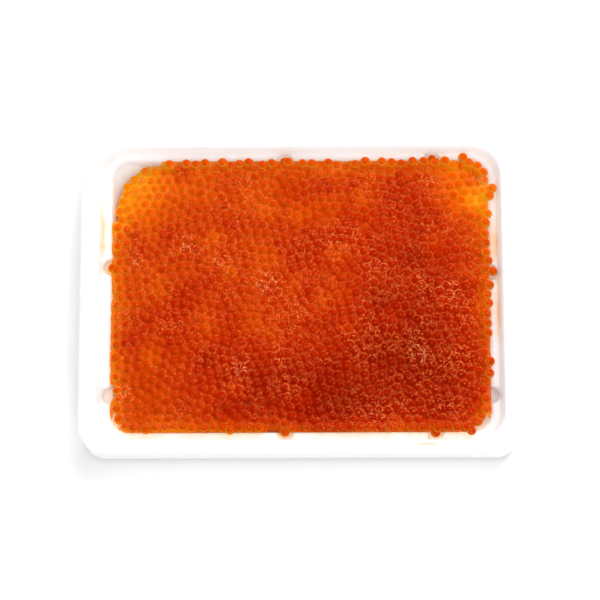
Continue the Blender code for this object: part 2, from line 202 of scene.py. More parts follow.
def ring_frame():
    """The ring that every level of the tray shares, anticlockwise from the front right corner.

    Each point has an anchor, a share of the straight half sides, a level direction that points outwards,
    the places of its side's two grooves along that side's axis, and the width of the ledge there.
    """
    half_x = PIT[0] / 2 - PIT[2]
    half_y = PIT[1] / 2 - PIT[2]
    sides = ((half_y, GROOVES_RIGHT, 1, LEDGE_AT_ENDS), (half_x, GROOVES_BACK, -1, LEDGE_AT_SIDES),
             (half_y, GROOVES_LEFT, -1, LEDGE_AT_ENDS), (half_x, GROOVES_FRONT, 1, LEDGE_AT_SIDES))
    anchors, outwards, axes, grooves_there, ledge = [], [], [], [], []
    for turn, (half, grooves, way, width) in enumerate(sides):
        angle = np.radians(90 * (turn - 1) + np.linspace(0, 90, CORNER_POINTS))
        corner_x = 1 if turn in (0, 1) else -1
        corner_y = 1 if turn in (1, 2) else -1
        anchors.append(np.tile((corner_x, corner_y), (CORNER_POINTS, 1)))
        outwards.append(np.stack([np.cos(angle), np.sin(angle)], 1))
        places = along_side(half, grooves)[::way]
        share = places / half
        outward = np.array((math.cos(math.radians(90 * turn)), math.sin(math.radians(90 * turn))))
        across = np.outer(np.ones(len(share)), outward)
        along = np.outer(share, np.abs(outward[::-1]))
        anchors.append(across + along)
        outwards.append(across)
        count = CORNER_POINTS + len(share)
        axes.append(np.tile(np.abs(outward[::-1]), (count, 1)))
        grooves_there.append(np.tile(grooves, (count, 1)))
        ledge.append(np.full(count, width))
    return [np.concatenate(part) for part in (anchors, outwards, axes, grooves_there, ledge)]


ring_anchor, ring_outward, ring_axis, ring_grooves, ring_ledge = ring_frame()


def level_ring(size, outset, height):
    """One level of the ring: a rounded rectangle moved outwards by an amount, at a height."""
    length, width, corner = size
    straight = ring_anchor * (length / 2 - corner, width / 2 - corner)
    flat = straight + ring_outward * (corner + outset + np.zeros(len(ring_anchor)))[:, None]
    return np.column_stack([flat, height + np.zeros(len(flat))])


def groove_wall(size):
    """Outset of the grooves' round walls from a rounded rectangle, falling away beyond their mouths."""
    along = (level_ring(size, 0, 0)[:, :2] * ring_axis).sum(1)
    beside = np.abs(along[:, None] - ring_grooves).min(1)
    bow = np.sqrt(np.clip(GROOVE_RADIUS ** 2 - beside ** 2, 0, None))
    beyond = np.clip(beside - GROOVE_RADIUS, 0, GROOVE_FADE)
    centre = ring_ledge - GROOVE_SHORT_OF_WALL - GROOVE_RADIUS
    return centre + np.where(beside < GROOVE_RADIUS, bow, -GROOVE_FADE_SLOPE * beyond)


def quarter(radius, start, stop, steps):
    """Reach and rise of a quarter round at even angles: radius less its cosine, and its sine."""
    angle = np.radians(np.linspace(start, stop, steps + 1))
    return zip(radius * (1 - np.cos(angle)), radius * np.sin(angle))


def towards(first, second, shares):
    """Rings between two rings, at shares of the way."""
    return [first + share * (second - first) for share in shares]


def soft_max(first, second, rounding):
    """The larger of two lengths, with the change from one to the other rounded off."""
    return (first + second + np.sqrt((first - second) ** 2 + rounding ** 2)) / 2


def pit_at(height):
    """The pit's rounded rectangle at a height, its corners wider down the slope, and its wall's inset."""
    depth = LEDGE_HEIGHT - height
    inset = PIT_DRAFT * max(depth - PIT_ROUND, 0) / PIT_WALL
    corner = float(np.interp(depth, (SLOPE_START, SLOPE_END), (PIT[2], DEEP_PIT[2])))
    return (PIT[0], PIT[1], corner), inset


def tray_levels():
    """All levels of the tray in order: out over the underside, up, over the rim, and down into the pit."""
    levels = []
    for reach, rise in quarter(BASE_ROUND, -90, 0, 6):
        levels.append(level_ring(TRAY, -TRAY_DRAFT - reach, BASE_ROUND + rise))
    foot = levels[0] * (1, 1, 0)
    levels = towards(foot * 0, foot, (0.02, 0.3, 0.6, 0.85, 0.99)) + levels
    side_foot = levels[-1]
    rim_foot = TRAY_HEIGHT - RIM_ROUND
    rim = [level_ring(TRAY, -reach, rim_foot + rise) for reach, rise in quarter(RIM_ROUND, 0, 90, 5)]
    levels += towards(side_foot, rim[0], (0.02, 0.35, 0.7, 0.98)) + rim
    lip = [level_ring(RECESS, reach, rim_foot + rise) for reach, rise in quarter(RIM_ROUND, 90, 0, 5)]
    levels += towards(rim[-1], lip[0], (0.06, 0.35, 0.65, 0.94)) + lip
    mouth = soft_max(0 * ring_ledge, groove_wall(PIT), GROOVE_MOUTH_ROUND)
    edge_round = np.clip(PIT_ROUND_SHARE * (ring_ledge - mouth), PIT_ROUND_LEAST, PIT_ROUND)
    room = np.clip(ring_ledge - mouth - edge_round, FILLET_LEAST, RECESS_FILLET) / RECESS_FILLET
    fillet = [level_ring(RECESS, -RECESS_DRAFT - reach * room, LEDGE_HEIGHT + RECESS_FILLET + rise)
              for reach, rise in quarter(RECESS_FILLET, 0, -90, 4)]
    levels += towards(lip[-1], fillet[0], (0.05, 0.5, 0.95)) + fillet

    edge = []
    for reach, rise in quarter(1.0, 90, 0, 7):
        edge.append(level_ring(PIT, mouth + edge_round * reach, LEDGE_HEIGHT - edge_round * (1 - rise)))
    levels += towards(levels[-1], edge[0], (0.1, 0.45, 0.9)) + edge
    groove_floor = LEDGE_HEIGHT - GROOVE_DEPTH
    edge_foot = LEDGE_HEIGHT - edge_round
    fillet_top = groove_floor + GROOVE_FILLET
    for share in (0.4, 0.7, 1.0):
        height = edge_foot + share * (fillet_top - edge_foot)
        size, inset = pit_at(height.mean())
        levels.append(level_ring(size, soft_max(-inset, groove_wall(size), GROOVE_MOUTH_ROUND), height))
    for reach, rise in list(quarter(GROOVE_FILLET, 0, -90, 4))[1:]:
        size, inset = pit_at(fillet_top + rise)
        outset = soft_max(-inset, groove_wall(size) - reach, GROOVE_MOUTH_ROUND)
        levels.append(level_ring(size, outset, fillet_top + rise))
    for share in (0.33, 0.66, 0.97):
        height = groove_floor - GROOVE_FALL * share
        size, inset = pit_at(height)
        outset = soft_max(-inset, groove_wall(size) - GROOVE_FILLET, GROOVE_MOUTH_ROUND)
        levels.append(level_ring(size, outset - share * (outset + inset), height))
    slope_end = LEDGE_HEIGHT - SLOPE_END
    for height in (groove_floor - GROOVE_FALL - GUARD, slope_end + OVER_SLOPE_END, slope_end,
                   slope_end - UNDER_SLOPE_END, PIT_MIDDLE, FLOOR_HEIGHT + PIT_FILLET + GUARD):
        size, inset = pit_at(height)
        levels.append(level_ring(size, -inset, height))
    for reach, rise in quarter(PIT_FILLET, 0, -90, 6):
        levels.append(level_ring(DEEP_PIT, -PIT_DRAFT - reach, FLOOR_HEIGHT + PIT_FILLET + rise))
    floor = levels[-1]
    middle = floor * (0, 0, 1)
    return levels + towards(floor, middle, (0.02, 0.25, 0.5, 0.75, 0.98))


def ring_faces(rings, count):
    """Four-sided faces between consecutive rings of a count of points, and a fan at each end."""
    ring, place = np.meshgrid(np.arange(rings - 1), np.arange(count), indexing="ij")
    after = (place + 1) % count
    sides = np.stack([ring * count + place, ring * count + after,
                      (ring + 1) * count + after, (ring + 1) * count + place], -1).reshape(-1, 4)
    place = np.arange(count)
    after = (place + 1) % count
    first = np.stack([after, place, np.full(count, rings * count)], 1)
    start = (rings - 1) * count
    last = np.stack([start + place, start + after, np.full(count, rings * count + 1)], 1)
    return sides.tolist() + first.tolist() + last.tolist()


def ring_body(name, levels, material):
    """A closed body of rings, with one point in the middle of its first and of its last ring."""
    rings = np.concatenate(levels)
    ends = np.array([levels[0].mean(0) * (0, 0, 1), levels[-1].mean(0) * (0, 0, 1)])
    faces = ring_faces(len(levels), len(levels[0]))
    return put_in_scene(name, np.concatenate([rings, ends]), faces, material)


# Expanded polystyrene, moulded: fused beads of three to four millimetres show as faint cells under a thin
# satin skin. Light goes deep into it, and a faint painted glow adds to that, so its walls are nearly as
# white as its rim; its foot is greyed with painted shade. Roe juice has left thin yellow and orange stains
# by the roe and on the rim.
FOAM_COLOUR = "FDFDFB"
FOAM_SEAM_COLOUR = "F7F6F3"
FOAM_BEAD = 0.0034
FOAM_SEAM = 0.12
FOAM_BEAD_RELIEF = 0.00002
FOAM_PAINTED_GLOW = 0.05
FOOT_SHADE_COLOUR = "8E8E88"
FOOT_SHADE_START = 0.0045
FOOT_SHADE_FULL = 0.0012
STAIN_RUNS = 130.0
STAIN_RAGGED = 1.6
STAIN_START = 2.0
STAIN_FULL = 0.9
STAINS = (
    ((0.1080, -0.0100, 0.0380), (0.0030, 0.0240, 0.0060), "FFB456", 0.50),
    ((0.1060, 0.0300, 0.0360), (0.0050, 0.0150, 0.0030), "FFB030", 0.60),
    ((-0.1080, 0.0340, 0.0380), (0.0028, 0.0200, 0.0060), "FFC468", 0.55),
    ((-0.1040, 0.0160, 0.0310), (0.0050, 0.0050, 0.0040), "FFD98A", 0.60),
    ((0.0680, -0.0840, 0.0430), (0.0100, 0.0012, 0.0020), "B9A85C", 0.70),
)
foam, tree, shader = new_material("moulded expanded polystyrene")
place = add_node(tree, "ShaderNodeTexCoord").outputs["Object"]
beads = add_node(tree, "ShaderNodeTexVoronoi", {"Vector": place, "Scale": 1 / FOAM_BEAD},
                 feature="DISTANCE_TO_EDGE")
seams = add_node(tree, "ShaderNodeMapRange", {"Value": beads, "From Max": FOAM_SEAM})
colour = add_node(tree, "ShaderNodeMix", {
    "Factor": seams, "A": to_linear(FOAM_SEAM_COLOUR), "B": to_linear(FOAM_COLOUR),
}, data_type="RGBA")
runs = add_node(tree, "ShaderNodeTexNoise", {"Vector": place, "Scale": STAIN_RUNS, "Detail": 4.0})
for stain_place, stain_reach, stain_code, stain_amount in STAINS:
    shifted = add_node(tree, "ShaderNodeVectorMath", {0: place, 1: stain_place}, operation="SUBTRACT")
    scaled = add_node(tree, "ShaderNodeVectorMath", {0: shifted, 1: stain_reach}, operation="DIVIDE")
    distance = add_node(tree, "ShaderNodeVectorMath", {0: scaled}, operation="LENGTH")
    ragged = add_node(tree, "ShaderNodeMath", {
        0: runs, 1: STAIN_RAGGED, 2: distance,
    }, operation="MULTIPLY_ADD")
    amount = add_node(tree, "ShaderNodeMapRange", {
        "Value": ragged, "From Min": STAIN_START, "From Max": STAIN_FULL,
        "To Max": stain_amount,
    }, interpolation_type="SMOOTHSTEP")
    colour = add_node(tree, "ShaderNodeMix", {
        "Factor": amount, "A": colour, "B": to_linear(stain_code),
    }, data_type="RGBA")
# Painted shade: the foam turns grey towards its foot, next to the table, where little light reaches.
height = add_node(tree, "ShaderNodeSeparateXYZ", {0: place}).outputs["Z"]
foot = add_node(tree, "ShaderNodeMapRange", {
    "Value": height, "From Min": FOOT_SHADE_START, "From Max": FOOT_SHADE_FULL,
}, interpolation_type="SMOOTHSTEP")
colour = add_node(tree, "ShaderNodeMix", {
    "Factor": foot, "A": colour, "B": to_linear(FOOT_SHADE_COLOUR),
}, data_type="RGBA")
relief = add_node(tree, "ShaderNodeBump", {"Height": seams, "Strength": 0.5, "Distance": FOAM_BEAD_RELIEF})
# The emission is a painted glow that stands in for light coming through the foam; it is no lamp.
fill_inputs(tree, shader, {
    "Base Color": colour, "Normal": relief, "Roughness": 0.5, "IOR": 1.45,
    "Subsurface Weight": 1.0, "Subsurface Radius": (1.0, 0.97, 0.92), "Subsurface Scale": 0.010,
    "Emission Color": (1.0, 1.0, 1.0, 1), "Emission Strength": FOAM_PAINTED_GLOW,
})

tray = ring_body("foam_tray", tray_levels(), foam)
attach(tray, "root")
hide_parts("tray")


# Top of the heap: about twelve hundred brined salmon eggs of five to six millimetres, loose and wet, which
# settled against each other inside the pit. They lie exactly where the solid has its bumps.
EGG_DIAMETER = 0.0054
EGG_SPREAD = 0.035
EGG_SPREAD_MOST = 0.09
EGG_GAP = 0.0006
HEAP_LEFT = -0.0999
HEAP_RIGHT = 0.1030
HEAP_FRONT = -0.0743
HEAP_BACK = 0.0747
HEAP_CORNERS = (0.019, 0.013, 0.026, 0.012)
HEAP_RISE = 0.0021
HEAP_RISE_MOST = 0.0026
HEAP_UNEVEN = 0.0006
HEAP_WAVE = (310, 140)
HEAP_CROSS_WAVE = (170, -390)
HEAP_SINKS = (
    (-0.104, 0.077, -0.0100, 0.020),
    (0.106, 0.078, -0.0015, 0.016),
    (0.105, -0.078, -0.0045, 0.016),
    (-0.104, -0.078, -0.0015, 0.012),
)
HEAP_DENTS = (
    (-0.1030, 0.0466, 0.0026, 0.0040),
    (-0.1030, -0.0560, 0.0014, 0.0045),
    (0.1060, 0.0330, 0.0034, 0.0065),
    (0.1060, -0.0147, 0.0026, 0.0055),
    (0.1060, -0.0508, 0.0032, 0.0050),
    (-0.0689, -0.0760, 0.0022, 0.0050),
    (0.1070, 0.0550, -0.0008, 0.0090),
    (0.0850, 0.0770, -0.0008, 0.0100),
)
NET_PITCH = 0.00494
NET_TURN = 13.0
NET_JITTER = 0.0024
LIFT_JITTER = 0.0007
SETTLE_STEPS = 60
PUSH_SHARE = 0.3
PULL_SHARE = 0.2
SLOPE_STEP = 0.00001
PROBE_SHARES = (0.45, 0.8)
PROBE_ANGLES = 12
EGG_SEED = 11
LOOSE_EGGS = (
    (0.0735, 0.0763, -0.0006),
    (-0.0080, 0.0758, -0.0011),
    (0.1062, 0.0122, 0.0016),
    (-0.1028, 0.0162, -0.0030),
    (0.0732, -0.0759, -0.0015),
    (-0.0084, -0.0760, -0.0002),
    (0.0902, 0.0765, 0.0034),
    (0.1057, 0.0590, 0.0034),
    (-0.0381, -0.0757, 0.0032),
    (0.0920, -0.0760, 0.0029),
)
LOOSE_EGG_PITCH = 0.0044
PAIR_REACH = 0.012


def with_bells(level, x, y, bells):
    """A level with bell curves added, each an amount times e to minus the square of distance over reach."""
    for bell_x, bell_y, amount, reach in bells:
        level = level + amount * np.exp(-((x - bell_x) ** 2 + (y - bell_y) ** 2) / reach ** 2)
    return level


def rectangle_distance(x, y, low, high, corners):
    """Signed distance to a rounded rectangle, below zero inside; each quadrant has its own corner radius."""
    middle_x, middle_y = (low[0] + high[0]) / 2, (low[1] + high[1]) / 2
    front_right, back_right, back_left, front_left = corners
    right = np.where(y < middle_y, front_right, back_right)
    left = np.where(y < middle_y, front_left, back_left)
    corner = np.where(x > middle_x, right, left)
    across = np.abs(x - middle_x) - (high[0] - low[0]) / 2 + corner
    along = np.abs(y - middle_y) - (high[1] - low[1]) / 2 + corner
    outside = np.hypot(np.clip(across, 0, None), np.clip(along, 0, None))
    return np.minimum(np.maximum(across, along), 0) + outside - corner


def pit_distance(x, y):
    """Signed distance to the line where pit wall and ledge would meet, below zero over the pit."""
    half = np.array((PIT[0] / 2, PIT[1] / 2))
    return rectangle_distance(x, y, -half, half, (PIT[2],) * 4)


def heap_distance(x, y):
    """Signed distance to the line that the edge eggs' centres keep to, with its dents and swells."""
    low, high = (HEAP_LEFT, HEAP_FRONT), (HEAP_RIGHT, HEAP_BACK)
    distance = rectangle_distance(x, y, low, high, HEAP_CORNERS)
    wave = np.sin(HEAP_WAVE[0] * x + HEAP_WAVE[1] * y)
    cross_wave = np.cos(HEAP_CROSS_WAVE[0] * x + HEAP_CROSS_WAVE[1] * y + 1)
    return with_bells(distance + HEAP_UNEVEN * wave * cross_wave, x, y, HEAP_DENTS)


def heap_level(x, y):
    """Height of the top eggs' tops: a little over the ledge, and sunk towards the corners."""
    return with_bells(LEDGE_HEIGHT + HEAP_RISE + 0 * x, x, y, HEAP_SINKS)


def lowest_centre(x, y, radius):
    """Lowest height at which an egg clears the rounded edge between pit and ledge."""
    past_round = pit_distance(x, y) - PIT_ROUND
    clear = radius + EGG_GAP
    reach = clear + PIT_ROUND
    lift = np.sqrt(np.clip(reach ** 2 - np.clip(past_round, -reach, 0) ** 2, 0, None))
    on_round = LEDGE_HEIGHT - PIT_ROUND + lift
    return np.where(past_round > -reach, on_round, FLOOR_HEIGHT + clear)


def corner_height(x, y):
    """Height of the pit's surface in its sloping corners, and of its floor anywhere else.

    The corner round that runs through a point has the radius a + b + sqrt(2 a b), where a and b are the
    point's distances from the pit's two sides, and the slope falls evenly as that radius grows.
    """
    from_end = np.clip(PIT[0] / 2 - np.abs(x), 0, None)
    from_side = np.clip(PIT[1] / 2 - np.abs(y), 0, None)
    corner = from_end + from_side + np.sqrt(2 * from_end * from_side)
    share = (corner - PIT[2]) / (DEEP_PIT[2] - PIT[2])
    sloping = LEDGE_HEIGHT - SLOPE_START - (SLOPE_END - SLOPE_START) * share
    return np.where(share > 1, FLOOR_HEIGHT, np.where(share < 0, LEDGE_HEIGHT, sloping))


def lowest_in_corner(x, y, radius):
    """Lowest height at which an egg clears the sloping corners, the most that a point under it asks for."""
    clear = radius + EGG_GAP
    lowest = corner_height(x, y) + clear
    for share in PROBE_SHARES:
        rise = clear * math.sqrt(1 - share ** 2)
        for angle in np.linspace(0, math.tau, PROBE_ANGLES, endpoint=False):
            under_x = x + share * clear * math.cos(angle)
            under_y = y + share * clear * math.sin(angle)
            lowest = np.maximum(lowest, corner_height(under_x, under_y) + rise)
    return lowest


def net_points(draw, turn_degrees):
    """One chance point in each cell of a turned square net that covers the tray."""
    count = int(TRAY[0] / NET_PITCH)
    column, row = np.meshgrid(np.arange(-count, count + 1), np.arange(-count, count + 1))
    net_x = (column * NET_PITCH).ravel() + draw.uniform(-NET_JITTER, NET_JITTER, column.size)
    net_y = (row * NET_PITCH).ravel() + draw.uniform(-NET_JITTER, NET_JITTER, row.size)
    turn = math.radians(turn_degrees)
    return net_x * math.cos(turn) - net_y * math.sin(turn), net_x * math.sin(turn) + net_y * math.cos(turn)


def egg_radii(draw, count):
    """Half diameters of eggs, spread a little about the usual one."""
    spread = np.clip(draw.normal(0, EGG_SPREAD, count), -EGG_SPREAD_MOST, EGG_SPREAD_MOST)
    return EGG_DIAMETER / 2 * (1 + spread)


def near_pairs(centres, reach):
    """Pairs of eggs whose centres start nearer to each other than a reach, first and second."""
    points = centres.astype(np.float32)
    square = sum((points[:, None, axis] - points[None, :, axis]) ** 2 for axis in range(3))
    first, second = np.nonzero(square < reach ** 2)
    return first[first < second], second[first < second]


def pushes(centres, radius, pairs):
    """For each egg the sum of its overlaps with its neighbours, each along the line between the centres."""
    first, second = pairs
    apart = centres[first] - centres[second]
    distance = np.sqrt((apart ** 2).sum(1))
    overlap = np.clip(radius[first] + radius[second] - distance, 0, None)
    push = apart * (overlap / distance)[:, None]
    count = len(centres)
    return np.stack([np.bincount(first, push[:, axis], count) - np.bincount(second, push[:, axis], count)
                     for axis in range(3)], 1)


def back_inside(centres, distance_to):
    """Moves eggs that are outside a line back to it, straight against the distance's slope."""
    x, y = centres[:, 0].copy(), centres[:, 1].copy()
    outside = distance_to(x, y)
    slope_x = (distance_to(x + SLOPE_STEP, y) - outside) / SLOPE_STEP
    slope_y = (distance_to(x, y + SLOPE_STEP) - outside) / SLOPE_STEP
    centres[:, 0] -= slope_x * np.clip(outside, 0, None)
    centres[:, 1] -= slope_y * np.clip(outside, 0, None)


def settle_top():
    """Centres and radii of the top eggs: pushed apart where they overlap, drawn back to the heap's level and
    inside its edge line, and lifted clear of the pit's edge, step by step."""
    draw = np.random.default_rng(EGG_SEED)
    x, y = net_points(draw, NET_TURN)
    inside = heap_distance(x, y) < 0
    x, y = x[inside], y[inside]
    radius = egg_radii(draw, x.size)
    z = heap_level(x, y) - radius + draw.normal(0, LIFT_JITTER, x.size)
    centres = np.stack([x, y, z], 1)
    pairs = near_pairs(centres, PAIR_REACH)
    for _ in range(SETTLE_STEPS):
        centres = centres + PUSH_SHARE * pushes(centres, radius, pairs)
        back_inside(centres, heap_distance)
        x, y = centres[:, 0], centres[:, 1]
        centres[:, 2] += PULL_SHARE * (heap_level(x, y) - radius - centres[:, 2])
        centres[:, 2] = np.minimum(centres[:, 2], LEDGE_HEIGHT + HEAP_RISE_MOST - radius)
        centres[:, 2] = np.maximum(centres[:, 2], lowest_centre(x, y, radius))
        centres[:, 2] = np.maximum(centres[:, 2], lowest_in_corner(x, y, radius))
    return centres, radius


def against_nearest(loose, centres):
    """Draws each loose egg in until it presses against the egg nearest to it."""
    apart = loose[:, None, :] - centres[None, :, :]
    distance = np.sqrt((apart ** 2).sum(2))
    nearest = distance.argmin(1)
    rows = np.arange(len(loose))
    away = apart[rows, nearest] / distance[rows, nearest][:, None]
    return centres[nearest] + away * LOOSE_EGG_PITCH


heap_centres, heap_radii = settle_top()
loose_centres = against_nearest(np.array(LOOSE_EGGS) + (0, 0, LEDGE_HEIGHT), heap_centres)
top_centres = np.concatenate([heap_centres, loose_centres])
top_radii = np.concatenate([heap_radii, np.full(len(loose_centres), EGG_DIAMETER / 2)])

# Cured salmon egg: a thin clear skin round oily yolk, sticky with brine. Where the heap is thin, light comes
# through it, and that light is painted: an egg there has a cap deepened by painted shade and a bright
# painted yellow ring on its near left. Deep in the heap it is plain red. Short light strokes are painted
# highlights, for the reflections that break up where wet skins touch.
TONES = ("840000", "9B0400", "B91D00", "E05500", "FB9A02", "FFB81E")
TONE_PLACES = (-1.0, -0.5, 0.0, 0.5, 1.0, 1.4)
TONE_SPREAD = 0.045
# Painted light and shade: each place paints the roe warmer, as if lit through a thin heap, or deeper.
PAINTED_LIGHT_PLACES = (
    (-0.084, 0.062, 0.62, 0.020),
    (-0.055, 0.060, 0.25, 0.014),
    (-0.094, 0.045, 0.30, 0.016),
    (0.090, 0.062, 0.52, 0.018),
    (0.098, 0.048, 0.25, 0.014),
    (-0.085, 0.008, 0.14, 0.016),
    (-0.074, -0.021, 0.02, 0.013),
    (-0.007, -0.010, 0.12, 0.020),
    (0.017, 0.027, 0.08, 0.022),
    (-0.050, 0.022, 0.14, 0.020),
    (-0.044, -0.020, 0.12, 0.018),
    (0.062, -0.010, -0.40, 0.024),
    (0.051, -0.036, -0.36, 0.024),
    (0.022, -0.055, -0.50, 0.026),
    (-0.028, -0.052, -0.40, 0.020),
    (0.072, -0.055, -0.34, 0.024),
    (-0.020, 0.057, 0.22, 0.020),
    (0.025, 0.054, 0.20, 0.020),
    (0.059, 0.030, -0.18, 0.020),
    (-0.082, -0.052, 0.16, 0.020),
    (0.010, -0.060, -0.26, 0.020),
    (0.080, -0.040, -0.16, 0.022),
    (-0.090, 0.010, 0.06, 0.020),
)
MOTTLES = 260
MOTTLE_REACH = 0.0055
MOTTLE_DEPTH = 0.12
MOTTLE_SEED = 23
# Painted glow near the heap's edge, as if light came through the thin heap there.
EDGE_PAINTED_GLOW = 0.42
EDGE_REACH = 0.0065
GLOW_INSIDE = 0.03
GLOW_AT_EDGE = 0.85
GLOW_BY_TONE = 0.9
GLOW_BY_EDGE = 0.20
# Painted shade: eggs near the edge and where the heap is thin are deepened, so their painted rings stand
# out.
EDGE_CAP_SHADE = 0.07
THIN_CAP_SHADE = 0.15
EGG_CUTS = 3
EGG_SQUEEZE = 0.02


def scattered(seed, count, spread, reach):
    """Bell curves at chance places over the heap, with chance amounts of a spread, and one reach."""
    draw = np.random.default_rng(seed)
    places = draw.uniform((HEAP_LEFT, HEAP_FRONT), (HEAP_RIGHT, HEAP_BACK), (count, 2))
    return np.column_stack([places, draw.normal(0, spread, count), np.full(count, reach)])


mottles = scattered(MOTTLE_SEED, MOTTLES, MOTTLE_DEPTH, MOTTLE_REACH)


def heap_tone_and_glow(x, y):
    """Tone of the roe, deep red to yellow orange, and how near the heap's edge a place is: painted light
    warms the tone where the heap is thin, as if lit through it, and painted shade deepens it in some places.
    """
    edge = np.exp(-(np.clip(-heap_distance(x, y), 0, None) / EDGE_REACH) ** 2)
    return with_bells(EDGE_PAINTED_GLOW * edge, x, y, (*PAINTED_LIGHT_PLACES, *mottles)), edge


def tone_colour(tone):
    """Linear colours along the row of tones, from one to the next in proportion."""
    colours = np.array([to_linear(code) for code in TONES])
    return np.stack([np.interp(tone, TONE_PLACES, channel) for channel in colours.T], 1)


def ball(cuts):
    """Points and faces of a ball: a cube, its sides cut in squares, each point pushed out to the radius."""
    across = np.tan(np.linspace(-math.pi / 4, math.pi / 4, cuts + 1))
    u, v = np.meshgrid(across, across, indexing="ij")
    one = np.ones_like(u)
    sides = ((one, u, v), (-one, v, u), (v, one, u), (u, -one, v), (u, v, one), (v, u, -one))
    sheets = [np.stack(side, -1) for side in sides]
    points = np.concatenate([sheet.reshape(-1, 3) for sheet in sheets])
    points /= np.linalg.norm(points, axis=1)[:, None]
    row, column = np.meshgrid(np.arange(cuts), np.arange(cuts), indexing="ij")
    corner = (row * (cuts + 1) + column).ravel()
    square = np.stack([corner, corner + cuts + 1, corner + cuts + 2, corner + 1], 1)
    faces = np.concatenate([square + side * (cuts + 1) ** 2 for side in range(6)])
    _, first, same = np.unique(np.round(points, 6), axis=0, return_index=True, return_inverse=True)
    return points[first], same.reshape(-1)[faces]


def give_points(thing, name, kind, key, values):
    """Gives every point of a mesh a named number, direction or colour for its material to read."""
    attribute = thing.data.attributes.new(name, kind, "POINT")
    attribute.data.foreach_set(key, np.asarray(values, np.float32).ravel())


def egg_cluster(name, centres, radii, seed):
    """One mesh of many eggs: one ball for all, put a little out of round, turned and coloured egg by egg."""
    draw = np.random.default_rng(seed)
    count = len(centres)
    unit, faces = ball(EGG_CUTS)
    turns = np.linalg.qr(draw.normal(0, 1, (count, 3, 3)))[0]
    turns[:, :, 0] *= np.sign(np.linalg.det(turns))[:, None]
    squeeze = 1 + draw.normal(0, EGG_SQUEEZE, (count, 1, 3))
    points = (unit[None] * squeeze) @ turns * radii[:, None, None] + centres[:, None]
    faces = (faces[None] + (np.arange(count) * len(unit))[:, None, None]).reshape(-1, 4)
    eggs = put_in_scene(name, points.reshape(-1, 3), faces.tolist(), egg_finish)
    tone, edge = heap_tone_and_glow(centres[:, 0], centres[:, 1])
    # Painted shade deepens eggs near the edge and where the heap is thin; the glow below is painted ring
    # light.
    tone = tone - EDGE_CAP_SHADE * edge - THIN_CAP_SHADE * np.clip(tone, 0, 1)
    tone = tone + draw.normal(0, TONE_SPREAD, count)
    lit = np.clip(GLOW_BY_TONE * tone + GLOW_BY_EDGE * edge, 0, 1)
    glow = GLOW_INSIDE + (GLOW_AT_EDGE - GLOW_INSIDE) * lit
    strokes = highlight_strength(centres[:, 0], centres[:, 1])
    give_points(eggs, "egg_colour", "FLOAT_COLOR", "color", np.repeat(tone_colour(tone), len(unit), axis=0))
    give_points(eggs, "egg_glow", "FLOAT", "value", np.repeat(glow, len(unit)))
    give_points(eggs, "highlight_strength", "FLOAT", "value", np.repeat(strokes, len(unit)))
    return eggs


# Painted highlights: pale strokes, arcs and dots stand for the lamps' reflections on wet skins.
HIGHLIGHT_STROKE_COLOUR = "FF8C46"
GLINT_CLUSTER_COLOUR = "FFAE7C"
CLUSTER_RANGE = (0.60, 0.90)
STROKE_PITCH = 0.0023
STROKE_HALF_WIDTH = 0.050
STROKE_PATCH = 0.0040
LINE_PATCHES = (0.45, 0.55)
ARC_PATCHES = (0.54, 0.45)
ARC_AXIS = (0.03, 0.12, 0.99)
ARC_COSINE = 0.62
ARC_HALF_WIDTH = 0.17
ARC_BEND = 1.0
FAR_SIDE = (0.20, 0.98, 0.0)
FAR_RANGE = (0.28, 0.50)
DOT_PITCH = 0.0027
DOT_RANGE = (0.26, 0.10)
STROKES_EVERYWHERE = 0.29
STROKES_IN_CLUSTERS = 0.36
STROKES_MOST = 0.80
GATHERS = 260
GATHER_REACH = 0.0060
GATHER_SPREAD = 0.22
GATHER_SEED = 31
# Places where the painted glints gather and turn whiter.
CLUSTER_PLACES = (
    (-0.065, 0.027, 0.006), (-0.041, 0.020, 0.009), (0.020, 0.030, 0.010), (-0.004, -0.013, 0.009),
    (0.041, 0.017, 0.006), (0.051, 0.001, 0.006), (0.081, -0.002, 0.007), (-0.018, -0.053, 0.006),
    (-0.006, -0.052, 0.007), (0.065, 0.009, 0.006), (0.030, -0.022, 0.012),
)

gathers = scattered(GATHER_SEED, GATHERS, GATHER_SPREAD, GATHER_REACH)
clusters = [(*place, STROKES_IN_CLUSTERS, reach) for *place, reach in CLUSTER_PLACES]


def highlight_strength(x, y):
    """How strong the painted highlight strokes are: uneven all over by a sum of bell curves, stronger in
    clusters.
    """
    strength = with_bells(STROKES_EVERYWHERE + 0 * x, x, y, (*gathers, *clusters))
    return np.clip(strength, 0, STROKES_MOST)


def near_level(tree, value, level, half_width):
    """One where a value is at a level, and falling smoothly to zero at a half width from it."""
    past = add_node(tree, "ShaderNodeMath", {0: value, 1: level}, operation="SUBTRACT")
    off = add_node(tree, "ShaderNodeMath", {0: past}, operation="ABSOLUTE")
    return add_node(tree, "ShaderNodeMapRange", {
        "Value": off, "From Min": half_width, "From Max": 0.0,
    }, interpolation_type="SMOOTHSTEP")


